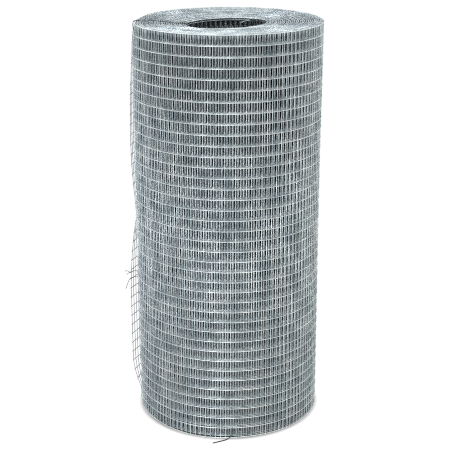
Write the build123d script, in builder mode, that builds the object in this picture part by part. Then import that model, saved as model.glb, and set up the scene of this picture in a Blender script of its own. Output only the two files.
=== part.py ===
"""Roll of galvanised welded wire fencing, standing on its end, in millimetres.

The frame has its origin on the roll's axis at floor level and +Z up the axis.
The wound turns are one turned solid with the bore down its middle. The last
stretch of mesh has sprung loose, and it is built wire by wire where it lies.
"""
import math
import os

from build123d import *

# Welded mesh: line wires run round the roll, cross wires stand along its height
WIRE_DIAMETER = 1.6
LINE_SPACING = 25.4
LINE_COUNT = 40
CROSS_SPACING = 12.7
CROSS_OVERHANG = 3.0
LOOSE_OVERHANG = 2.4
WELD_SINK = 0.3

# Wound roll
OUTER_RADIUS = 229.0
BORE_RADIUS = 91.0
TURNS = 30
TURNS_PER_RIDGE = 3
END_GROOVE_DEPTH = 4.0
RIM_FLAT = 4.0

# Loose end: it lies on the roll at its root and springs clear over a few cells
ROOT_AZIMUTH = 154.0
LOOSE_CELLS = 8
FIRST_LOOSE_CELL = 3
CELLS_PER_BEND = 2
ROWS_PER_BEND = 2
SEAT_GAP = 0.3
LINE_STUB = 2.0

# The free edge stands off in two lobes, each between two pinched heights
LOWER_LOBE = {"low": 30.0, "high": 510.0, "stand_off": 20.0, "low_rise": 85.0, "high_rise": 220.0}
UPPER_LOBE = {"low": 516.0, "high": 918.0, "stand_off": 9.0, "low_rise": 190.0, "high_rise": 240.0}

# Tie wires, bent by hand from soft wire
TIE_DIAMETER = 1.6
TIE_BEND = 3.0
TIE_SIDES = 5
SIDE_TIE_HEIGHT = 356.0
TOP_TIE_HOOK = 30.0
BOTTOM_TIE_START = 34.0

ROLL_HEIGHT = (LINE_COUNT - 1) * LINE_SPACING + 2 * CROSS_OVERHANG
LOOSE_LENGTH = LOOSE_CELLS * CROSS_SPACING
LAYER_STEP = WIRE_DIAMETER - WELD_SINK
ROOT_RADIUS = OUTER_RADIUS + SEAT_GAP + WIRE_DIAMETER / 2 + LAYER_STEP

os.makedirs("parts", exist_ok=True)


def line_height(row):
    """Height of a line wire's centre, counted from the bottom row."""
    return CROSS_OVERHANG + row * LINE_SPACING


def lobe_stand_off(lobe, height):
    """Stand-off of the free edge inside one lobe, nothing outside it."""
    from_low = (height - lobe["low"]) / lobe["low_rise"]
    from_high = (lobe["high"] - height) / lobe["high_rise"]
    if from_low <= 0 or from_high <= 0:
        return 0.0
    low_part = math.sin(math.pi / 2 * min(1.0, from_low))
    high_part = math.sin(math.pi / 2 * min(1.0, from_high))
    return lobe["stand_off"] * low_part * high_part


def loose_curvature(height):
    """Curvature, seen from above, that brings the free edge to its stand-off."""
    stand_off = lobe_stand_off(LOWER_LOBE, height) + lobe_stand_off(UPPER_LOBE, height)
    return 1 / ROOT_RADIUS - 2 * stand_off / LOOSE_LENGTH**2


def loose_point(along, height, inset=0.0):
    """Point of the loose mesh at a length along it from the root, seen from above."""
    curvature = loose_curvature(height)
    root = math.radians(ROOT_AZIMUTH)
    heading = root + math.pi / 2 + curvature * along
    half_turn = curvature * along / 2
    chord = along * (math.sin(half_turn) / half_turn if half_turn else 1.0)
    x = ROOT_RADIUS * math.cos(root) + chord * math.cos(heading - half_turn)
    y = ROOT_RADIUS * math.sin(root) + chord * math.sin(heading - half_turn)
    return Vector(x - inset * math.sin(heading), y + inset * math.cos(heading), height)


def bend_heights():
    """Heights at which the loose end bends: both its ends and halfway between rows."""
    low_end = CROSS_OVERHANG - LOOSE_OVERHANG
    rows = range(ROWS_PER_BEND - 1, LINE_COUNT - 1, ROWS_PER_BEND)
    halfway = [line_height(row) + LINE_SPACING / 2 for row in rows]
    return [low_end] + halfway + [ROLL_HEIGHT - low_end]


def bend_lengths():
    """Lengths at which the loose end bends, halfway between cross wires."""
    root = (FIRST_LOOSE_CELL - 0.5) * CROSS_SPACING
    cells = range(FIRST_LOOSE_CELL + CELLS_PER_BEND - 1, LOOSE_CELLS, CELLS_PER_BEND)
    halfway = [(cell + 0.5) * CROSS_SPACING for cell in cells]
    return [root] + halfway + [LOOSE_LENGTH + LINE_STUB]


def between(stops, value):
    """The two stops on either side of a value, and its share of the way between them."""
    upper = next(index for index in range(1, len(stops)) if value <= stops[index] or index == len(stops) - 1)
    share = (value - stops[upper - 1]) / (stops[upper] - stops[upper - 1])
    return stops[upper - 1], stops[upper], share


def sheet_point(along, height, inset=0.0):
    """Point on the flat facets that the loose end is bent into."""
    near, far, along_share = between(bend_lengths(), along)
    low, high, up_share = between(bend_heights(), height)
    near_point = loose_point(near, low, inset) * (1 - up_share) + loose_point(near, high, inset) * up_share
    far_point = loose_point(far, low, inset) * (1 - up_share) + loose_point(far, high, inset) * up_share
    return near_point * (1 - along_share) + far_point * along_share


def end_profile():
    """Half section of the wound roll: its turns show as ridges on both ends."""
    grooves = max(1, round(TURNS / TURNS_PER_RIDGE) - 1)
    pitch = (OUTER_RADIUS - BORE_RADIUS - 2 * RIM_FLAT) / grooves
    inner_start = BORE_RADIUS + RIM_FLAT
    bottom = [(BORE_RADIUS, 0.0), (inner_start, 0.0)]
    for groove in range(grooves):
        start = inner_start + groove * pitch
        bottom.append((start + pitch / 2, END_GROOVE_DEPTH))
        bottom.append((start + pitch, 0.0))
    bottom.append((OUTER_RADIUS, 0.0))
    top = [(radius, ROLL_HEIGHT - height) for radius, height in reversed(bottom)]
    return bottom + top


def line_wire(row):
    """One line wire of the loose end, a flat-sided bar bent a little between the welds."""
    half = WIRE_DIAMETER / 2
    height = line_height(row)
    outer = [sheet_point(along, height, -half) for along in bend_lengths()]
    inner = [sheet_point(along, height, half) for along in reversed(bend_lengths())]
    with BuildPart() as bar:
        with BuildSketch(Plane.XY.offset(height - half)):
            with BuildLine():
                Polyline(*[(point.X, point.Y) for point in outer + inner], close=True)
            make_face()
        extrude(amount=WIRE_DIAMETER)
    return bar.part


def cross_wire(cell):
    """One cross wire of the loose end, welded inside the line wires, lofted bend by bend."""
    along = cell * CROSS_SPACING
    facing = ROOT_AZIMUTH + math.degrees(along / ROOT_RADIUS)
    with BuildPart() as bar:
        for height in bend_heights():
            centre = sheet_point(along, height, LAYER_STEP)
            with BuildSketch(Plane.XY.offset(height)):
                with Locations((centre.X, centre.Y)):
                    Rectangle(WIRE_DIAMETER, WIRE_DIAMETER, rotation=facing)
        loft(ruled=True)
    return bar.part


def build_loose_end():
    """The loose end's wires, fused where they cross."""
    line_wires = [line_wire(row) for row in range(LINE_COUNT)]
    cross_wires = [cross_wire(cell) for cell in range(FIRST_LOOSE_CELL, LOOSE_CELLS + 1)]
    with BuildPart() as loose_end:
        add(line_wires, clean=False)
        add(cross_wires, clean=False)
    return loose_end


def build_mesh_roll():
    """The wound turns with their bore, the turns showing on both ends."""
    with BuildPart() as mesh_roll:
        with BuildSketch(Plane.XZ):
            with BuildLine():
                Polyline(*end_profile(), close=True)
            make_face()
        revolve(axis=Axis.Z)
    return mesh_roll


def at(radius, azimuth, height):
    """Point from its distance to the axis, its azimuth in degrees and its height."""
    angle = math.radians(azimuth)
    return Vector(radius * math.cos(angle), radius * math.sin(angle), height)


def bent_wire(points):
    """A length of tie wire along straight runs with rounded bends."""
    with BuildPart() as wire:
        with BuildLine() as route:
            FilletPolyline(*points, radius=TIE_BEND)
        with BuildSketch(Plane(origin=route.line @ 0, z_dir=route.line % 0)):
            RegularPolygon(TIE_DIAMETER / 2, TIE_SIDES)
        sweep()
    return wire.part


def build_side_tie():
    """The tie that no longer holds the free edge: a hairpin with splayed legs."""
    skin = OUTER_RADIUS + TIE_DIAMETER / 2
    high = SIDE_TIE_HEIGHT + 8
    low = SIDE_TIE_HEIGHT - 9
    upper_leg = [at(skin + 35, 179.2, high - 11), at(skin + 18, 180.0, high - 11)]
    hairpin = [at(skin, 183.2, high), at(skin, 183.2, low)]
    lower_leg = [at(skin + 18, 180.0, low - 9), at(skin + 33, 178.9, low - 39)]
    with BuildPart() as side_tie:
        add(bent_wire(upper_leg + hairpin + lower_leg))
    return side_tie


def build_top_tie():
    """The tie over the top end: from the innermost turn, across the turns and over the rim."""
    lying = ROLL_HEIGHT + TIE_DIAMETER / 2
    band = OUTER_RADIUS - BORE_RADIUS
    knot = (OUTER_RADIUS - 0.24 * band, -177.0)
    inner_turn = BORE_RADIUS + RIM_FLAT / 2
    rim_skin = OUTER_RADIUS + TIE_BEND
    hook_end = ROLL_HEIGHT - TOP_TIE_HOOK
    crossing = [
        at(inner_turn, -178.7, lying),
        at(OUTER_RADIUS - 0.74 * band, -173.0, lying),
        at(OUTER_RADIUS - 0.55 * band, -178.6, lying),
        at(*knot, lying),
        at(rim_skin, -175.2, lying),
        at(rim_skin, -175.2, hook_end),
    ]
    long_tail = [
        at(*knot, lying + TIE_DIAMETER / 4),
        at(OUTER_RADIUS - 0.25 * band, -170.0, lying + 1.8),
        at(OUTER_RADIUS - 0.28 * band, -160.0, lying + 3.2),
        at(OUTER_RADIUS - 0.22 * band, -143.7, lying + 3.8),
    ]
    with BuildPart() as top_tie:
        add(bent_wire(crossing))
        add(bent_wire(long_tail))
    return top_tie


def build_bottom_tie():
    """The tie hooked on the bottom row at the front, its tail lying on the floor."""
    skin = OUTER_RADIUS + TIE_DIAMETER / 2
    on_floor = TIE_DIAMETER / 2
    route = [
        at(skin, -87.4, BOTTOM_TIE_START),
        at(skin, -88.4, BOTTOM_TIE_START - 22),
        at(skin + 2, -90.6, on_floor + 1),
        at(skin + 11, -93.7, on_floor),
        at(skin + 25.5, -98.5, on_floor),
    ]
    with BuildPart() as bottom_tie:
        add(bent_wire(route))
    return bottom_tie


mesh_roll = build_mesh_roll()
mesh_roll.part.label = "mesh_roll"
export_step(mesh_roll.part, "parts/mesh_roll.step")

loose_end = build_loose_end()
loose_end.part.label = "loose_end"
export_step(loose_end.part, "parts/loose_end.step")

side_tie = build_side_tie()
side_tie.part.label = "side_tie"
export_step(side_tie.part, "parts/side_tie.step")

top_tie = build_top_tie()
top_tie.part.label = "top_tie"
export_step(top_tie.part, "parts/top_tie.step")

bottom_tie = build_bottom_tie()
bottom_tie.part.label = "bottom_tie"
export_step(bottom_tie.part, "parts/bottom_tie.step")
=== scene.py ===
"""Roll of galvanised welded wire fencing, standing on its end, with its loose end and wire ties.

The mesh is laid out flat wire by wire, as it comes off the welding line, and is then rolled up
into its spiral. The last stretch springs clear of the roll, as the frame's own loose end does.
Lengths are in metres, and a value in millimetres says so in its name or is turned by MM.
"""

import logging
import math
from dataclasses import dataclass
from enum import Enum

import bpy
import numpy as np
from mathutils import Matrix, Vector


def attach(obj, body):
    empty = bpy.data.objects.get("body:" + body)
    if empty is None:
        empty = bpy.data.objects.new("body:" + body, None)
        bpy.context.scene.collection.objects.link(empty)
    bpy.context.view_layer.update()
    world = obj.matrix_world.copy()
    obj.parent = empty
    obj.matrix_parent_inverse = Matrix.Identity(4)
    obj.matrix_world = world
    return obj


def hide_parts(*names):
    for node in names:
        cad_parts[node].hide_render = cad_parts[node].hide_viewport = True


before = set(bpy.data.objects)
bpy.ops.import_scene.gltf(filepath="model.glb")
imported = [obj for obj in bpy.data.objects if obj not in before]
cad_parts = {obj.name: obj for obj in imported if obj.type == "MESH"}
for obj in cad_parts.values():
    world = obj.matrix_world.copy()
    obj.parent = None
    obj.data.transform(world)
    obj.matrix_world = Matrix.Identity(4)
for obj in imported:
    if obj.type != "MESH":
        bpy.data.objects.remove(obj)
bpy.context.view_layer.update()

LOG = logging.getLogger("fencing_roll")
MM = 0.001
FULL_TURN = 2 * math.pi

# Points nearer than this are one: where tubes meet end to end, and on a bent wire
TUBE_WELD = 0.02 * MM
WIRE_WELD = 0.01 * MM

# Edges sharper than this stay crisp, such as a wire's cut end
CRISP_ANGLE = math.radians(80)

# Part of a cell that is taken as rounding when wires are counted
ROUNDING = 1e-6

# A step between neighbours that makes the sines of whole numbers look like chance
SCATTER = 12.9898


class Slot(Enum):
    """The material slots that the record names."""

    MESH = "galvanised_mesh"
    TIE = "tie_wire"
    DARK_TIE = "dark_tie_wire"


def linear_rgb(hex_code: str) -> tuple[float, float, float, float]:
    """Turn an sRGB hex colour into linear RGBA by the standard sRGB curve.

    Args:
        hex_code: six hex digits, without a hash sign.

    Returns:
        The linear colour with an alpha of 1.
    """
    parts = [int(hex_code[i : i + 2], 16) / 255 for i in (0, 2, 4)]
    linear = [c / 12.92 if c <= 0.04045 else ((c + 0.055) / 1.055) ** 2.4 for c in parts]
    return (linear[0], linear[1], linear[2], 1.0)


def linear_grey(level: float) -> tuple[float, float, float, float]:
    """Linear RGBA of a grey."""
    return (level, level, level, 1.0)


def add_node(
    tree: bpy.types.NodeTree,
    kind: str,
    values: dict[str, object],
    links: dict[str, bpy.types.NodeSocket],
    **settings: object,
) -> bpy.types.Node:
    """Add a node with its settings and links.

    Args:
        tree: the material's or world's node tree.
        kind: the node's type.
        values: a value for each input, by the input's identifier or name.
        links: the output that feeds each input, by the input's identifier or name.
        settings: the node's own properties.

    Returns:
        The new node.
    """
    node = tree.nodes.new(kind)
    for name, value in settings.items():
        setattr(node, name, value)
    sockets = {socket.name: socket for socket in reversed(list(node.inputs))}
    sockets |= {socket.identifier: socket for socket in node.inputs}
    for name, value in values.items():
        sockets[name].default_value = value
    for name, source in links.items():
        tree.links.new(source, sockets[name])
    return node


def deselect_all() -> None:
    """Leave edit mode and deselect every object."""
    if bpy.context.object and bpy.context.object.mode != "OBJECT":
        bpy.ops.object.mode_set(mode="OBJECT")
    bpy.ops.object.select_all(action="DESELECT")


def make_active(piece: bpy.types.Object) -> None:
    """Select one object alone and make it active.

    Args:
        piece: the object.
    """
    deselect_all()
    piece.select_set(True)
    bpy.context.view_layer.objects.active = piece


def apply_array(
    piece: bpy.types.Object, count: int, step: tuple[float, float, float], merge: bool
) -> None:
    """Repeat a piece along a straight line and keep the result.

    Args:
        piece: the object to repeat.
        count: how many copies there are, the first one included.
        step: the way from one copy to the next.
        merge: whether the copies join where their ends meet.
    """
    make_active(piece)
    array = piece.modifiers.new("repeat", "ARRAY")
    array.use_relative_offset = False
    array.use_constant_offset = True
    array.constant_offset_displace = step
    array.count = count
    array.use_merge_vertices = merge
    array.merge_threshold = TUBE_WELD
    bpy.ops.object.modifier_apply(modifier=array.name)


def get_points(piece: bpy.types.Object) -> np.ndarray:
    """Read a mesh's vertices.

    Args:
        piece: the object that has the mesh.

    Returns:
        One row of x, y and z for each vertex.
    """
    points = np.empty(len(piece.data.vertices) * 3)
    piece.data.vertices.foreach_get("co", points)
    return points.reshape(-1, 3)


def set_points(piece: bpy.types.Object, points: np.ndarray) -> None:
    """Write one row of x, y and z back to each vertex of a mesh."""
    piece.data.vertices.foreach_set("co", points.reshape(-1))
    piece.data.update()


def join_pieces(pieces: list[bpy.types.Object], name: str) -> bpy.types.Object:
    """Join several pieces into one object.

    Args:
        pieces: the objects to join.
        name: the joined object's name.

    Returns:
        The joined object.
    """
    deselect_all()
    for piece in pieces:
        piece.select_set(True)
    bpy.context.view_layer.objects.active = pieces[0]
    bpy.ops.object.join()
    pieces[0].name = name
    pieces[0].data.name = name
    return pieces[0]


def hand_over(piece: bpy.types.Object, finish: bpy.types.Material, node: str) -> None:
    """Smooth a finished piece, dress it, attach it to the root and hide the node that it stands
    for.

    Args:
        piece: the finished piece.
        finish: its material.
        node: the node that it replaces.
    """
    make_active(piece)
    bpy.ops.object.shade_smooth_by_angle(angle=CRISP_ANGLE)
    piece.data.materials.clear()
    piece.data.materials.append(finish)
    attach(piece, "root")
    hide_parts(node)
    LOG.info("%s: %d faces", piece.name, len(piece.data.polygons))


@dataclass(frozen=True)
class MeshStock:
    """The welded mesh as it is sold: its wires and their spacing."""

    wire_radius: float = 0.8 * MM
    line_spacing: float = 25.4 * MM
    line_count: int = 40
    cross_spacing: float = 12.7 * MM
    cross_overhang: float = 3.0 * MM

    # The weld presses the two layers of wire together, so they lie less than a wire apart
    layer_step: float = 1.3 * MM

    # The shear cuts the upper ends nearer to their line wire, and all ends a little unevenly
    top_trim: float = 1.8 * MM
    shear_wander: float = 0.5 * MM
    end_zone: float = 1 * MM

    @property
    def height(self) -> float:
        """Length of a cross wire."""
        return (self.line_count - 1) * self.line_spacing + 2 * self.cross_overhang

    def line_height(self, row: int) -> float:
        """Height of a line wire above the lower ends of the cross wires."""
        return self.cross_overhang + row * self.line_spacing


@dataclass(frozen=True)
class Lobe:
    """A stretch of the free edge that stands off between two pinched heights."""

    low: float
    high: float
    stand_off: float
    low_rise: float
    high_rise: float

    def at(self, height: np.ndarray) -> np.ndarray:
        """Stand-off of the free edge.

        Args:
            height: heights above the floor.

        Returns:
            Stand-off at each height, nothing outside the lobe.
        """
        low_part = np.clip((height - self.low) / self.low_rise, 0, 1)
        high_part = np.clip((self.high - height) / self.high_rise, 0, 1)
        return self.stand_off * np.sin(math.pi / 2 * low_part) * np.sin(math.pi / 2 * high_part)


@dataclass(frozen=True)
class Dent:
    """A place where handling has pushed the turns in or out, fading all round."""

    azimuth_deg: float
    spread_deg: float
    height: float
    reach: float
    amount: float
    turns: float

    def at(self, azimuth: np.ndarray, height: np.ndarray, turn: np.ndarray) -> np.ndarray:
        """Radial push at each point.

        Args:
            azimuth: angles round the roll.
            height: heights above the floor.
            turn: turns from the root of the loose end, negative towards the bore.

        Returns:
            Pushes, outwards where positive.
        """
        round_off = np.angle(np.exp(1j * (azimuth - math.radians(self.azimuth_deg))))
        across = np.exp(-((round_off / math.radians(self.spread_deg)) ** 2))
        upright = np.exp(-(((height - self.height) / self.reach) ** 2))
        return self.amount * across * upright * np.exp(-((turn / self.turns) ** 2))


@dataclass(frozen=True)
class Wave:
    """A wave in the gap between the turns, which drifts round from each turn to the next."""

    share: float
    waves_round: int
    drift: float
    phase: float

    def at(self, turn: np.ndarray, azimuth: np.ndarray) -> np.ndarray:
        """Share of the unevenness at points of the roll."""
        return self.share * np.sin(self.waves_round * azimuth + self.drift * turn + self.phase)


@dataclass(frozen=True)
class Winding:
    """How the mesh is wound: a spiral from the bore out to the root of the loose end."""

    root_radius: float = 231.4 * MM
    bore_radius: float = 91.8 * MM
    bore_margin: float = 2 * MM
    turns: float = 30.28
    height: float = 996.6 * MM
    root_azimuth: float = math.radians(154.0)
    loose_length: float = 8 * 12.7 * MM

    # The mesh waves a little between its wires, so its arc is shorter than its flat length.
    # That brings the second turn's cross wires in between those of the first.
    slack: float = 0.0054

    # The gap between the turns is uneven, except at the root
    gap_wander: float = 0.45 * MM
    gap_waves: tuple[Wave, ...] = (Wave(1.0, 3, 1.9, 0.0), Wave(0.7, 7, -2.7, 1.0))
    gap_fade: float = 2.0

    # Each turn has slipped on the next one, by its own amount and with its own lean
    slip: float = 0.7 * MM
    slip_fade: float = 0.8
    slip_beat: float = 1.7
    slip_phase: float = 0.4
    slip_drift: float = 0.6

    # The turns just inside the outermost one ride up, less so where the top tie held them
    ride_up: float = 2.8 * MM
    ride_turns: float = 9.0
    tie_azimuth: float = math.pi
    tie_spread: float = math.radians(32)
    tie_hold: float = 0.7

    # Towards the bore the upper ends sag, more on one side, and the innermost turn most
    sag: float = 5.5 * MM
    sag_power: float = 1.5
    tilt: float = 3.6 * MM
    tilt_azimuth: float = math.radians(142.0)
    core_drop: float = 3.0 * MM
    core_from: float = 0.8
    core_over: float = 0.5

    lobes: tuple[Lobe, ...] = (
        Lobe(30 * MM, 510 * MM, 20 * MM, 85 * MM, 220 * MM),
        Lobe(516 * MM, 918 * MM, 9 * MM, 190 * MM, 240 * MM),
    )

    # The rim is pressed in at the left, the upper half eased out at the right, and the foot of
    # the outermost turn pushed out at the front left
    dents: tuple[Dent, ...] = (
        Dent(172, 28, 996.6 * MM, 13 * MM, -5.5 * MM, 12),
        Dent(172, 28, 996.6 * MM, 50 * MM, -6.5 * MM, 12),
        Dent(0, 50, 996.6 * MM, 250 * MM, 3.5 * MM, 20),
        Dent(252, 22, 0.0, 38 * MM, 11.0 * MM, 1),
    )

    @property
    def pitch(self) -> float:
        """Radial step from one turn to the next."""
        return (self.root_radius - self.bore_radius - self.bore_margin) / self.turns

    def angle_at(self, along: np.ndarray) -> np.ndarray:
        """Angle of the spiral, back from the root, at lengths along the mesh.

        Args:
            along: lengths from the root, negative towards the bore.

        Returns:
            Angles in radians, negative towards the bore.
        """
        growth = self.pitch / FULL_TURN
        arc = along * (1 - self.slack)
        return (np.sqrt(self.root_radius**2 + 2 * growth * arc) - self.root_radius) / growth

    def length_of(self, turns: float) -> float:
        """Flat length of mesh in the outermost turns.

        Args:
            turns: how many turns are taken, from the root inwards.

        Returns:
            The length, a little more than the turns' arc because of the slack.
        """
        angle = FULL_TURN * turns
        arc = self.root_radius * angle - self.pitch / FULL_TURN * angle**2 / 2
        return arc / (1 - self.slack)

    def push(self, azimuth: np.ndarray, height: np.ndarray, turn: np.ndarray) -> np.ndarray:
        """Radial push of all dents together, at points of the roll."""
        return sum(dent.at(azimuth, height, turn) for dent in self.dents)

    def wander(self, turn: np.ndarray, azimuth: np.ndarray) -> np.ndarray:
        """Small unevenness of the gap between turns, none at the root.

        Args:
            turn: turns from the root, negative towards the bore.
            azimuth: angles round the roll.

        Returns:
            Radial shifts, outwards where positive.
        """
        fade = np.clip(-turn * self.gap_fade, 0, 1)
        return self.gap_wander * fade * sum(wave.at(turn, azimuth) for wave in self.gap_waves)

    def lift(self, turn: np.ndarray, azimuth: np.ndarray, height: np.ndarray) -> np.ndarray:
        """How far each turn has moved up or down, none at the root.

        Args:
            turn: turns from the root, negative towards the bore.
            azimuth: angles round the roll.
            height: heights above the floor.

        Returns:
            Shifts, upwards where positive; nothing sinks below the floor.
        """
        beat = np.sin(self.slip_beat * turn + self.slip_phase)
        lean = np.cos(azimuth - self.slip_drift * turn)
        slip = self.slip * np.clip(-turn * self.slip_fade, 0, 1) * (1 + beat * lean)
        from_tie = np.angle(np.exp(1j * (azimuth - self.tie_azimuth))) / self.tie_spread
        ride_up = self.ride_up * np.clip(-turn, 0, 1) * np.exp(-((turn / self.ride_turns) ** 2))
        raised = slip + ride_up * (1 - self.tie_hold * np.exp(-(from_tie**2)))
        depth = np.clip(-turn / self.turns, 0, 1) ** self.sag_power
        into_core = np.clip((-turn - self.turns + self.core_from) / self.core_over, 0, 1)
        tilt = self.tilt * np.cos(azimuth - self.tilt_azimuth)
        sag = (self.sag + tilt) * depth + into_core * self.core_drop
        return raised - sag * height / self.height

    def wound(self, along: np.ndarray, out: np.ndarray, height: np.ndarray) -> np.ndarray:
        """Place points of the flat mesh on the spiral.

        Args:
            along: lengths from the root, negative towards the bore.
            out: offsets outwards from the line wires' centres.
            height: heights above the floor.

        Returns:
            One row of x, y and z for each point.
        """
        angle = self.angle_at(along)
        turn = angle / FULL_TURN
        azimuth = self.root_azimuth + angle
        radius = self.root_radius + self.pitch * turn + out + self.wander(turn, azimuth)
        radius = radius + self.push(azimuth, height, turn)
        lifted = height + self.lift(turn, azimuth, height)
        return np.stack([radius * np.cos(azimuth), radius * np.sin(azimuth), lifted], axis=1)

    def loose(self, along: np.ndarray, out: np.ndarray, height: np.ndarray) -> np.ndarray:
        """Place points of the flat mesh on the sprung loose end.

        At each height the mesh follows an arc that leaves the roll without a kink and keeps its
        length, and that is straighter where the free edge stands off further.

        Args:
            along: lengths from the root towards the free edge.
            out: offsets outwards from the line wires' centres.
            height: heights above the floor.

        Returns:
            One row of x, y and z for each point.
        """
        stand_off = sum(lobe.at(height) for lobe in self.lobes)
        curvature = 1 / self.root_radius - 2 * stand_off / self.loose_length**2
        half_turn = curvature * along / 2
        heading = self.root_azimuth + math.pi / 2 + 2 * half_turn
        chord = along * np.sinc(half_turn / math.pi)
        x = self.root_radius * math.cos(self.root_azimuth) + chord * np.cos(heading - half_turn)
        y = self.root_radius * math.sin(self.root_azimuth) + chord * np.sin(heading - half_turn)
        x = x + out * np.sin(heading)
        y = y - out * np.cos(heading)
        radius = np.hypot(x, y)
        scale = 1 + self.push(np.arctan2(y, x), height, np.zeros_like(height)) / radius
        return np.stack([x * scale, y * scale, height], axis=1)


@dataclass
class FlatStretch:
    """A flat stretch of mesh, laid along +X with its outer side towards -Y."""

    stock: MeshStock
    start: float
    end: float
    segment: float
    line_sides: int
    cross_sides: int
    rows: range
    cuts: tuple[float, ...]

    def line_wires(self) -> bpy.types.Object:
        """Lay the line wires: a short tube repeated along X, closed and repeated up Z.

        Returns:
            All the line wires as one object.
        """
        count = max(2, round((self.end - self.start) / self.segment))
        step = (self.end - self.start) / count
        deselect_all()
        bpy.ops.mesh.primitive_cylinder_add(
            vertices=self.line_sides,
            radius=self.stock.wire_radius,
            depth=step,
            end_fill_type="NOTHING",
            rotation=(0, math.pi / 2, 0),
            location=(self.start + step / 2, 0, self.stock.line_height(self.rows[0])),
        )
        wire = bpy.context.object
        bpy.ops.object.transform_apply(location=True, rotation=True, scale=True)
        apply_array(wire, count, (step, 0, 0), merge=True)
        bpy.ops.object.mode_set(mode="EDIT")
        bpy.ops.mesh.select_all(action="SELECT")
        bpy.ops.mesh.fill_holes(sides=0)
        bpy.ops.mesh.normals_make_consistent(inside=False)
        bpy.ops.object.mode_set(mode="OBJECT")
        row_step = self.rows.step * self.stock.line_spacing
        apply_array(wire, len(self.rows), (0, 0, row_step), merge=False)
        return wire

    def cross_wires(self) -> bpy.types.Object:
        """Lay the cross wires: one upright rod, cut where it may bend, repeated along X.

        Returns:
            All the cross wires as one object.
        """
        spacing = self.stock.cross_spacing
        first = math.ceil(self.start / spacing - ROUNDING) * spacing
        count = math.ceil((self.end - first) / spacing - ROUNDING)
        deselect_all()
        bpy.ops.mesh.primitive_cylinder_add(
            vertices=self.cross_sides,
            radius=self.stock.wire_radius,
            depth=self.stock.height,
            location=(first, self.stock.layer_step, self.stock.height / 2),
        )
        rod = bpy.context.object
        bpy.ops.object.transform_apply(location=True, rotation=True, scale=True)
        bpy.ops.object.mode_set(mode="EDIT")
        for height in self.cuts:
            bpy.ops.mesh.select_all(action="SELECT")
            bpy.ops.mesh.bisect(plane_co=(0, 0, height), plane_no=(0, 0, 1), use_fill=False)
        bpy.ops.object.mode_set(mode="OBJECT")
        apply_array(rod, count, (spacing, 0, 0), merge=False)
        self.shear_ends(rod)
        return rod

    def shear_ends(self, rods: bpy.types.Object) -> None:
        """Cut the rods' ends as the shear leaves them, none of them below the floor.

        Args:
            rods: the cross wires, still flat.
        """
        points = get_points(rods)
        wire = np.round(points[:, 0] / self.stock.cross_spacing)
        uneven = self.stock.shear_wander * np.sin(wire * SCATTER)
        top = points[:, 2] > self.stock.height - self.stock.end_zone
        bottom = points[:, 2] < self.stock.end_zone
        points[top, 2] += uneven[top] - self.stock.top_trim
        points[bottom, 2] += self.stock.shear_wander + uneven[bottom]
        set_points(rods, points)


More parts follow.
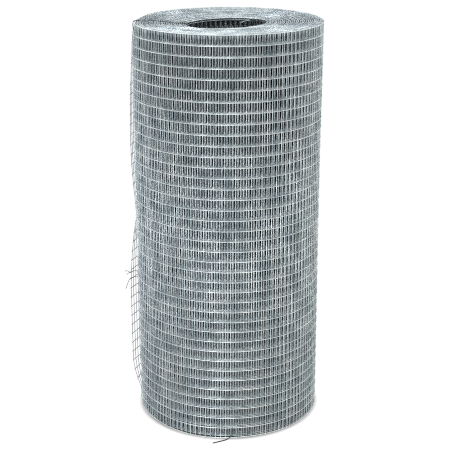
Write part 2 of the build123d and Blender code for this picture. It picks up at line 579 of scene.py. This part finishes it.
@dataclass(frozen=True)
class ZincFinish:
    """Galvanised steel wire: drawn, then dipped in zinc, which dries dull with a faint spangle.

    The zinc gives the eye a soft grey gleam along each wire, brighter and duller in patches, with
    a dry white bloom here and there. Deep in the roll it is drawn dark: painted shade, where the
    turns shade each other.
    """

    name: str = "galvanised_wire"
    zinc: str = "CFD7D8"
    dull: str = "9FABAF"
    bloom: str = "DDE0DF"
    # Painted shade: the dark colour drawn deep in the roll, where the turns shade each other
    painted_shade: str = "414648"
    metallic: float = 0.85
    roughness_dull: float = 0.57
    roughness_bright: float = 0.37

    # Size in millimetres and detail of each pattern. Spangle on wire is a millimetre or less,
    # too fine to show, so its patches are drawn at 35 mm. Bloom dries in spots of a few
    # millimetres and is drawn at 90 mm. Drips of zinc are a few tenths, drawn at 1.2 mm.
    patches: tuple[float, float] = (35.0, 5.0)
    blooms: tuple[float, float] = (90.0, 3.0)
    drips: tuple[float, float] = (1.2, 2.0)

    # Where in its pattern the zinc turns from dull to bright, and the bloom from none to full
    patch_edges: tuple[float, float] = (0.35, 0.6)
    bloom_edges: tuple[float, float] = (0.58, 0.72)
    bloom_most: float = 0.5
    drip_strength: float = 0.3
    drip_depth: float = 0.05 * MM

    # Where the painted shade starts to lift and where it is gone: on the outside, in the bore and
    # on both ends
    outside_mm: tuple[float, float] = (200.0, 230.0)
    bore_mm: tuple[float, float] = (104.0, 80.0)
    top_mm: tuple[float, float] = (978.0, 988.0)
    foot_mm: tuple[float, float] = (9.0, 4.0)

    # The loose end stands clear of the roll and is drawn partway towards the painted shade colour
    free_mm: tuple[float, float] = (232.6, 236.0)
    free_share: float = 0.45

    def unshaded_share(self, tree: bpy.types.NodeTree, place: bpy.types.NodeSocket) -> bpy.types.NodeSocket:
        """Tell how little painted shade each point of the wires gets, by its place in the roll.

        Args:
            tree: the material's node tree.
            place: the object's own coordinates.

        Returns:
            A share from 0 within the stack of turns, in full painted shade, to 1 on its outside,
            its ends and its bore, and less on the loose end.
        """
        flat = add_node(tree, "ShaderNodeMapping", {"Scale": (1, 1, 0)}, {"Vector": place})
        feeds = {"Vector": flat.outputs["Vector"]}
        length = add_node(tree, "ShaderNodeVectorMath", {}, feeds, operation="LENGTH")
        radius = length.outputs["Value"]
        height = add_node(tree, "ShaderNodeSeparateXYZ", {}, {"Vector": place}).outputs["Z"]
        shares = []
        for source, start, full, least, most in (
            (radius, *self.outside_mm, 0.0, 1.0),
            (radius, *self.bore_mm, 0.0, 1.0),
            (height, *self.top_mm, 0.0, 1.0),
            (height, *self.foot_mm, 0.0, 1.0),
            (radius, *self.free_mm, 1.0, self.free_share),
        ):
            limits = {"From Min": start * MM, "From Max": full * MM}
            limits |= {"To Min": least, "To Max": most}
            share = add_node(tree, "ShaderNodeMapRange", limits, {"Value": source})
            shares.append(share.outputs["Result"])
        unshaded_part, *others, held = shares
        for other in others:
            both = {"Value": unshaded_part, "Value_001": other}
            larger = add_node(tree, "ShaderNodeMath", {}, both, operation="MAXIMUM")
            unshaded_part = larger.outputs["Value"]
        both = {"Value": unshaded_part, "Value_001": held}
        return add_node(tree, "ShaderNodeMath", {}, both, operation="MULTIPLY").outputs["Value"]

    def material(self) -> bpy.types.Material:
        """Make the zinc finish, its patterns in the object's own coordinates.

        Returns:
            The material.
        """
        material = bpy.data.materials.new(self.name)
        material.use_nodes = True
        tree = material.node_tree
        shader = tree.nodes["Principled BSDF"]
        shader.inputs["Metallic"].default_value = self.metallic
        place = add_node(tree, "ShaderNodeTexCoord", {}, {}).outputs["Object"]
        noises = []
        for size_mm, detail in (self.patches, self.blooms, self.drips):
            pattern = {"Scale": 1 / (size_mm * MM), "Detail": detail}
            noise = add_node(tree, "ShaderNodeTexNoise", pattern, {"Vector": place})
            noises.append(noise.outputs["Fac"])
        patch, bloom, drips = noises
        ramp = add_node(tree, "ShaderNodeValToRGB", {}, {"Fac": patch})
        ends = zip(ramp.color_ramp.elements, self.patch_edges, (self.dull, self.zinc))
        for element, edge, colour in ends:
            element.position = edge
            element.color = linear_rgb(colour)
        low, high = self.bloom_edges
        limits = {"From Min": low, "From Max": high, "To Max": self.bloom_most}
        bloomed = add_node(tree, "ShaderNodeMapRange", limits, {"Value": bloom}).outputs["Result"]
        outside = add_node(
            tree,
            "ShaderNodeMix",
            {"B_Color": linear_rgb(self.bloom)},
            {"Factor_Float": bloomed, "A_Color": ramp.outputs["Color"]},
            data_type="RGBA",
        ).outputs["Result"]
        # Painted shade: the zinc is mixed towards a dark colour deep in the roll
        base = add_node(
            tree,
            "ShaderNodeMix",
            {"A_Color": linear_rgb(self.painted_shade)},
            {"Factor_Float": self.unshaded_share(tree, place), "B_Color": outside},
            data_type="RGBA",
        ).outputs["Result"]
        limits = {"To Min": self.roughness_dull, "To Max": self.roughness_bright}
        rough = add_node(tree, "ShaderNodeMapRange", limits, {"Value": patch}).outputs["Result"]
        relief = {"Strength": self.drip_strength, "Distance": self.drip_depth}
        bump = add_node(tree, "ShaderNodeBump", relief, {"Height": drips}).outputs["Normal"]
        tree.links.new(base, shader.inputs["Base Color"])
        tree.links.new(rough, shader.inputs["Roughness"])
        tree.links.new(bump, shader.inputs["Normal"])
        return material


@dataclass(frozen=True)
class TieFinish:
    """Soft tie wire: drawn and baked, which leaves it dull.

    It gives the eye a quiet dark gleam, a little mottled where scale from the oven still sits.
    """

    name: str
    bare: str
    scale: str
    metallic: float
    roughness_scale: float
    roughness_bare: float

    # Flakes of scale are a millimetre or less, too fine to show, so they are drawn at 6 mm
    patches: tuple[float, float] = (6.0, 4.0)
    patch_edges: tuple[float, float] = (0.4, 0.62)

    def material(self) -> bpy.types.Material:
        """Make the tie wire's finish, its mottling in the object's own coordinates.

        Returns:
            The material.
        """
        material = bpy.data.materials.new(self.name)
        material.use_nodes = True
        tree = material.node_tree
        shader = tree.nodes["Principled BSDF"]
        shader.inputs["Metallic"].default_value = self.metallic
        place = add_node(tree, "ShaderNodeTexCoord", {}, {}).outputs["Object"]
        size_mm, detail = self.patches
        pattern = {"Scale": 1 / (size_mm * MM), "Detail": detail}
        patch = add_node(tree, "ShaderNodeTexNoise", pattern, {"Vector": place}).outputs["Fac"]
        ramp = add_node(tree, "ShaderNodeValToRGB", {}, {"Fac": patch})
        ends = zip(ramp.color_ramp.elements, self.patch_edges, (self.scale, self.bare))
        for element, edge, colour in ends:
            element.position = edge
            element.color = linear_rgb(colour)
        limits = {"To Min": self.roughness_scale, "To Max": self.roughness_bare}
        rough = add_node(tree, "ShaderNodeMapRange", limits, {"Value": patch}).outputs["Result"]
        tree.links.new(ramp.outputs["Color"], shader.inputs["Base Color"])
        tree.links.new(rough, shader.inputs["Roughness"])
        return material


@dataclass(frozen=True)
class BentWire:
    """A length of soft wire bent by hand, its radius and the points near it in millimetres."""

    name: str
    radius_mm: float
    route_mm: tuple[tuple[float, float, float], ...]
    order: int = 3
    steps: int = 8
    quarter_sides: int = 3

    def build(self) -> bpy.types.Object:
        """Bend a round wire along a smooth line near its points and close its ends.

        Returns:
            The wire as a mesh.
        """
        data = bpy.data.curves.new(self.name, "CURVE")
        data.dimensions = "3D"
        data.bevel_depth = self.radius_mm * MM
        data.bevel_resolution = self.quarter_sides
        data.use_fill_caps = True
        data.resolution_u = self.steps
        spline = data.splines.new("NURBS")
        spline.points.add(len(self.route_mm) - 1)
        for point, place in zip(spline.points, self.route_mm):
            point.co = (place[0] * MM, place[1] * MM, place[2] * MM, 1.0)
        spline.order_u = self.order
        spline.use_endpoint_u = True
        piece = bpy.data.objects.new(self.name, data)
        bpy.context.scene.collection.objects.link(piece)
        make_active(piece)
        bpy.ops.object.convert(target="MESH")
        bpy.ops.object.mode_set(mode="EDIT")
        bpy.ops.mesh.select_all(action="SELECT")
        bpy.ops.mesh.remove_doubles(threshold=WIRE_WELD)
        bpy.ops.mesh.normals_make_consistent(inside=False)
        bpy.ops.object.mode_set(mode="OBJECT")
        return piece


# Every row of line wires, and the heights at which cross wires may bend, closest at the rim
ALL_ROWS = range(MeshStock.line_count)
OUTER_CUTS_MM = (20, 45, 80, 140, 250, 500, 750, 860, 920, 950, 972, 988)
MIDDLE_CUTS_MM = (60, 500, 900, 960, 985)


@dataclass(frozen=True)
class Band:
    """A band of turns that is drawn alike, between two counts of turns in from the root.

    Its line wires have so many straight segments a turn and so many sides, and so have its cross
    wires, which may bend at the cuts; no sides means no cross wires. The line wires of a proud
    band stand on the roll's outside and carry a painted highlight.
    """

    name: str
    outer: float
    inner: float
    segments: int
    line_sides: int
    cross_sides: int
    rows: range = ALL_ROWS
    cuts_mm: tuple[float, ...] = ()
    proud: bool = False


@dataclass
class WoundMesh:
    """The wound turns, in bands that get plainer towards the bore, where less is seen."""

    stock: MeshStock
    winding: Winding
    finish: bpy.types.Material
    line_finish: bpy.types.Material
    highlight_finish: bpy.types.Material
    bands: tuple[Band, ...] = (
        Band("outermost_turn", 0.0, 1.0, 64, 6, 6, cuts_mm=OUTER_CUTS_MM, proud=True),
        Band("outer_turns", 1.0, 3.0, 64, 6, 6, cuts_mm=OUTER_CUTS_MM),
        Band("middle_turns", 3.0, 10.0, 40, 5, 6, cuts_mm=MIDDLE_CUTS_MM),
        Band("inner_turns", 10.0, Winding.turns, 26, 4, 6, rows=ALL_ROWS[1:-2]),
        Band("inner_top_rows", 10.0, Winding.turns, 48, 6, 0, rows=ALL_ROWS[-2:]),
        Band("inner_bottom_row", 10.0, Winding.turns, 28, 4, 0, rows=ALL_ROWS[:1]),
    )

    # A wire of the mesh's inner corner, which hangs out into the bore
    curl: BentWire = BentWire(
        "bore_curl",
        0.8,
        (
            (56.5, 71.0, 985.0),
            (52.0, 73.5, 984.6),
            (45.0, 73.0, 983.2),
            (38.5, 68.0, 981.6),
            (34.0, 61.5, 981.2),
            (33.0, 56.5, 983.4),
        ),
    )

    def wind(self, piece: bpy.types.Object, name: str, finish: bpy.types.Material) -> None:
        """Roll a flat piece up on to the spiral and hand it over.

        Args:
            piece: the flat piece.
            name: its name.
            finish: its material.
        """
        piece.name = name
        piece.data.name = name
        points = get_points(piece)
        set_points(piece, self.winding.wound(points[:, 0], -points[:, 1], points[:, 2]))
        hand_over(piece, finish, "mesh_roll")

    def build_band(self, band: Band) -> None:
        """Wind one band, its line wires and its cross wires as two pieces.

        Args:
            band: the band.
        """
        start = -self.winding.length_of(band.inner)
        end = -self.winding.length_of(band.outer)
        segment = (end - start) / ((band.inner - band.outer) * band.segments)
        cuts = tuple(cut * MM for cut in band.cuts_mm)
        sides = (band.line_sides, band.cross_sides)
        stretch = FlatStretch(self.stock, start, end, segment, *sides, band.rows, cuts)
        # The proud line wires carry a painted highlight, the others a lighter painted shade than
        # the cross wires
        line_finish = self.highlight_finish if band.proud else self.line_finish
        self.wind(stretch.line_wires(), f"{band.name}_line_wires", line_finish)
        if band.cross_sides:
            self.wind(stretch.cross_wires(), f"{band.name}_cross_wires", self.finish)

    def build(self) -> None:
        """Wind every band from the outside in, then bend the wire end inside the bore."""
        for band in self.bands:
            self.build_band(band)
        hand_over(self.curl.build(), self.finish, "mesh_roll")


@dataclass
class LooseEnd:
    """The last cells of mesh, sprung clear of the roll in two lobes."""

    stock: MeshStock
    winding: Winding
    finish: bpy.types.Material
    stub: float = 2.0 * MM
    segments_a_cell: int = 2
    sides: int = 8

    def build(self) -> None:
        """Lay the stretch flat, its rods cut at every row, then let it spring."""
        reach = self.winding.loose_length + self.stub
        segment = self.stock.cross_spacing / self.segments_a_cell
        cuts = tuple(self.stock.line_height(row) for row in ALL_ROWS)
        sides = (self.sides, self.sides)
        stretch = FlatStretch(self.stock, 0.0, reach, segment, *sides, ALL_ROWS, cuts)
        piece = join_pieces([stretch.line_wires(), stretch.cross_wires()], "loose_end_mesh")
        points = get_points(piece)
        set_points(piece, self.winding.loose(points[:, 0], -points[:, 1], points[:, 2]))
        hand_over(piece, self.finish, "loose_end")


@dataclass
class Ties:
    """The three ties that once held the roll."""

    zinc: bpy.types.Material
    steel: bpy.types.Material

    # A hairpin hooked round the loose end, with its ends splayed
    side: tuple[BentWire, ...] = (
        BentWire(
            "side_hairpin",
            0.75,
            (
                (-258.8, -1.5, 349.0),
                (-254.5, -1.0, 352.5),
                (-250.5, 0.0, 355.5),
                (-247.0, -2.0, 356.8),
                (-243.0, -5.0, 359.5),
                (-237.5, -9.0, 363.0),
                (-230.5, -14.5, 365.5),
                (-227.5, -16.5, 356.0),
                (-230.0, -14.5, 346.5),
                (-238.0, -8.0, 346.0),
                (-243.5, -5.0, 343.0),
                (-250.0, -3.5, 339.5),
                (-253.5, -2.0, 334.0),
                (-257.5, -1.0, 323.5),
                (-262.3, 0.0, 309.5),
            ),
        ),
        BentWire(
            "side_splay",
            0.75,
            (
                (-243.0, -3.5, 358.0),
                (-247.5, -3.8, 355.0),
                (-251.0, -2.2, 354.5),
                (-256.0, -0.8, 360.5),
                (-263.8, 0.5, 357.5),
            ),
        ),
    )

    # A wire over the top end from the outermost turn to the bore, with two loose tails
    top: tuple[BentWire, ...] = (
        BentWire(
            "top_crossing",
            1.0,
            (
                (-220.6, -19.0, 966.0),
                (-222.4, -19.2, 978.0),
                (-223.0, -19.2, 990.0),
                (-221.5, -18.4, 998.6),
                (-213.0, -13.0, 998.8),
                (-204.0, -6.0, 998.2),
                (-197.4, -3.0, 997.6),
                (-179.4, -0.7, 996.8),
                (-165.0, -1.5, 995.6),
                (-152.5, -3.6, 994.8),
                (-139.0, -9.5, 993.8),
                (-125.5, -15.6, 992.8),
                (-108.0, -9.5, 991.2),
                (-96.0, -3.5, 990.0),
                (-91.5, -2.0, 986.0),
            ),
        ),
        BentWire(
            "top_long_tail",
            1.0,
            (
                (-205.0, -10.0, 998.4),
                (-199.5, -15.5, 999.2),
                (-193.1, -29.1, 998.6),
                (-186.5, -46.0, 1000.4),
                (-178.6, -64.0, 1001.5),
                (-171.0, -90.0, 1001.5),
                (-160.5, -117.9, 999.5),
            ),
        ),
        BentWire(
            "top_short_tail",
            1.0,
            (
                (-206.0, -5.5, 998.2),
                (-200.0, -10.5, 998.8),
                (-196.5, -36.0, 1000.5),
                (-193.1, -67.4, 1000.0),
                (-191.0, -88.0, 999.2),
                (-187.7, -106.2, 998.6),
            ),
        ),
    )

    # A wire hooked on the lowest row at the front, its tail on the floor
    bottom: tuple[BentWire, ...] = (
        BentWire(
            "bottom_tail",
            1.45,
            (
                (12.5, -228.6, 27.0),
                (12.0, -232.8, 30.5),
                (10.6, -233.6, 25.0),
                (9.0, -233.4, 17.0),
                (5.5, -233.8, 8.5),
                (0.0, -235.0, 3.6),
                (-6.5, -237.6, 1.9),
                (-15.7, -241.8, 1.5),
                (-27.0, -247.4, 1.5),
                (-37.8, -252.4, 1.5),
            ),
        ),
    )

    def build(self) -> None:
        """Bend each tie and hand it over in place of its node."""
        for wires, node, finish, slot in (
            (self.side, "side_tie", self.zinc, Slot.TIE),
            (self.top, "top_tie", self.zinc, Slot.TIE),
            (self.bottom, "bottom_tie", self.steel, Slot.DARK_TIE),
        ):
            for wire in wires:
                hand_over(wire.build(), finish, node)


@dataclass(frozen=True)
class Lamp:
    """A soft square lamp that looks at the roll's axis, at the height it is aimed at."""

    name: str
    place: tuple[float, float, float]
    size: float
    watts: float
    tint: str
    aim: float = 0.5

    def hang(self) -> None:
        """Hang the lamp in its place."""
        data = bpy.data.lights.new(self.name, "AREA")
        data.size = self.size
        data.energy = self.watts
        data.color = linear_rgb(self.tint)[:3]
        lamp = bpy.data.objects.new(self.name, data)
        bpy.context.scene.collection.objects.link(lamp)
        lamp.location = self.place
        sight = Vector((0, 0, self.aim)) - Vector(self.place)
        lamp.rotation_euler = sight.to_track_quat("-Z", "Y").to_euler()


@dataclass
class Studio:
    """The plain white studio: floor, light and camera."""

    image_side: float = 450.0
    focal_px: float = 1157.046
    sensor_mm: float = 36.0
    sight: float = 50.0
    distance: float = 2780.996 * MM
    eye_height: float = 1392.37 * MM
    pitch_down: float = math.radians(18.1438)
    yaw: float = math.radians(-0.1277)
    roll: float = math.radians(-0.29047)

    # A narrow filter keeps wires of half a pixel crisp, and a denoiser would smear them
    filter_px: float = 1.2

    surround_tint: str = "F4F7FA"
    surround_strength: float = 0.5
    floor_side: float = 30.0
    floor_drop: float = 0.5 * MM
    floor_grey: float = 0.9
    floor_roughness: float = 0.9

    # As it is seen, the floor is white all round the roll and dark beneath it: a painted shadow,
    # where the glow fades out
    seen_grey: float = 0.05
    painted_shadow_mm: tuple[float, float] = (218.0, 236.0)
    glow: float = 0.975

    lamps: tuple[Lamp, ...] = (
        Lamp("key", (-0.4, -2.7, 2.9), 2.4, 28, "FAFBFF"),
        Lamp("overhead", (0.0, 0.3, 3.4), 1.6, 12, "F8FBFF"),
        Lamp("back_left", (-1.5, 1.3, 3.0), 1.0, 34, "F4F9FF"),
        Lamp("back_right", (1.5, 1.3, 3.0), 1.0, 26, "F4F9FF"),
        Lamp("left_fill", (-0.45, -1.3, 0.2), 0.4, 10, "EEF5FF", aim=0.05),
        Lamp("right_fill", (0.35, -1.3, 0.2), 0.4, 5, "FFFFF6", aim=0.05),
    )

    def camera(self) -> None:
        """Stand the camera where the photograph was taken from."""
        data = bpy.data.cameras.new("camera")
        data.sensor_width = self.sensor_mm
        data.lens = self.focal_px / self.image_side * self.sensor_mm
        data.clip_end = self.sight
        camera = bpy.data.objects.new("camera", data)
        bpy.context.scene.collection.objects.link(camera)
        forward = Vector(
            (
                math.sin(self.yaw) * math.cos(self.pitch_down),
                math.cos(self.yaw) * math.cos(self.pitch_down),
                -math.sin(self.pitch_down),
            )
        )
        right = Vector((math.cos(self.yaw), -math.sin(self.yaw), 0))
        up = right.cross(forward)
        right_turned = math.cos(self.roll) * right + math.sin(self.roll) * up
        up_turned = -math.sin(self.roll) * right + math.cos(self.roll) * up
        turn = Matrix((right_turned, up_turned, -forward)).transposed()
        place = Matrix.Translation((0, -self.distance, self.eye_height))
        camera.matrix_world = place @ turn.to_4x4()
        bpy.context.scene.camera = camera

    def seen_rays(self, tree: bpy.types.NodeTree) -> bpy.types.NodeSocket:
        """Tell the rays that see the studio as white: camera, mirror and through-going ones.

        Args:
            tree: the node tree that asks.

        Returns:
            1 for those rays and 0 for the ones that only carry light.
        """
        rays = add_node(tree, "ShaderNodeLightPath", {}, {}).outputs
        seen = rays["Is Camera Ray"]
        for other in ("Is Glossy Ray", "Is Transmission Ray"):
            both = {"Value": seen, "Value_001": rays[other]}
            larger = add_node(tree, "ShaderNodeMath", {}, both, operation="MAXIMUM")
            seen = larger.outputs["Value"]
        return seen

    def world(self) -> None:
        """Set up a soft surround that reads as white where the camera sees it."""
        world = bpy.data.worlds.new("studio")
        bpy.context.scene.world = world
        world.use_nodes = True
        tree = world.node_tree
        soft = tree.nodes["Background"]
        soft.inputs["Color"].default_value = linear_rgb(self.surround_tint)
        soft.inputs["Strength"].default_value = self.surround_strength
        plain = {"Color": linear_grey(1.0), "Strength": 1.0}
        white = add_node(tree, "ShaderNodeBackground", plain, {})
        feeds = {
            "Fac": self.seen_rays(tree),
            "Shader": soft.outputs["Background"],
            "Shader_001": white.outputs["Background"],
        }
        mixed = add_node(tree, "ShaderNodeMixShader", {}, feeds).outputs["Shader"]
        tree.links.new(mixed, tree.nodes["World Output"].inputs["Surface"])

    def floor(self) -> None:
        """Lay a pale floor that throws light up and reads as white beside the roll, with a painted
        shadow beneath it.
        """
        deselect_all()
        bpy.ops.mesh.primitive_plane_add(size=self.floor_side, location=(0, 0, -self.floor_drop))
        floor = bpy.context.object
        floor.name = "floor"
        material = bpy.data.materials.new("studio_floor")
        material.use_nodes = True
        tree = material.node_tree
        shader = tree.nodes["Principled BSDF"]
        shader.inputs["Base Color"].default_value = linear_grey(self.floor_grey)
        shader.inputs["Roughness"].default_value = self.floor_roughness
        place = add_node(tree, "ShaderNodeTexCoord", {}, {}).outputs["Object"]
        out = add_node(tree, "ShaderNodeVectorMath", {}, {"Vector": place}, operation="LENGTH")
        # Painted shadow: the glow fades out towards the roll's axis, so the floor is dark beneath
        # it
        dark_mm, white_mm = self.painted_shadow_mm
        limits = {"From Min": dark_mm * MM, "From Max": white_mm * MM, "To Max": self.glow}
        strength = add_node(tree, "ShaderNodeMapRange", limits, {"Value": out.outputs["Value"]})
        feeds = {"Strength": strength.outputs["Result"]}
        glow = add_node(tree, "ShaderNodeEmission", {"Color": linear_grey(1.0)}, feeds)
        shade = add_node(tree, "ShaderNodeBsdfDiffuse", {"Color": linear_grey(self.seen_grey)}, {})
        feeds = {"Shader": shade.outputs["BSDF"], "Shader_001": glow.outputs["Emission"]}
        lit = add_node(tree, "ShaderNodeAddShader", {}, feeds)
        feeds = {
            "Fac": self.seen_rays(tree),
            "Shader": shader.outputs["BSDF"],
            "Shader_001": lit.outputs["Shader"],
        }
        mixed = add_node(tree, "ShaderNodeMixShader", {}, feeds).outputs["Shader"]
        tree.links.new(mixed, tree.nodes["Material Output"].inputs["Surface"])
        floor.data.materials.append(material)

    def build(self) -> None:
        """Set up the whole studio and how it is rendered."""
        self.camera()
        self.world()
        self.floor()
        for lamp in self.lamps:
            lamp.hang()
        scene = bpy.context.scene
        scene.view_settings.view_transform = "Standard"
        scene.cycles.use_denoising = False
        scene.cycles.filter_width = self.filter_px


def main() -> None:
    """Build the roll, its ties and the studio, and report each piece."""
    logging.basicConfig(level=logging.INFO, format="%(name)s: %(message)s")
    stock = MeshStock()
    winding = Winding()
    zinc = ZincFinish().material()

    # Zinc on the line wires within the roll: a lighter painted shade than on the cross wires, a
    # painted highlight where they catch light from above, so that each row shows as a pale line
    line_zinc = ZincFinish("galvanised_line_wire", painted_shade="919A9C").material()

    # Zinc on the outermost line wires: brighter than on their cross wires, a painted highlight
    # along each
    highlight_zinc = ZincFinish("painted_highlight_line_wire", zinc="E1E5E2", dull="CBD2D2").material()

    # Soft wire with a thin coat of zinc: a darker, duller grey than the mesh
    tie = TieFinish("galvanised_tie_wire", "6C777B", "535D61", 0.8, 0.55, 0.35).material()

    # Black annealed wire: darker still, with hardly a gleam
    steel = TieFinish("annealed_tie_wire", "4E4F51", "333436", 0.75, 0.6, 0.4).material()

    WoundMesh(stock, winding, zinc, line_zinc, highlight_zinc).build()
    LooseEnd(stock, winding, zinc).build()
    Ties(tie, steel).build()
    Studio().build()


if __name__ == "__main__":
    main()
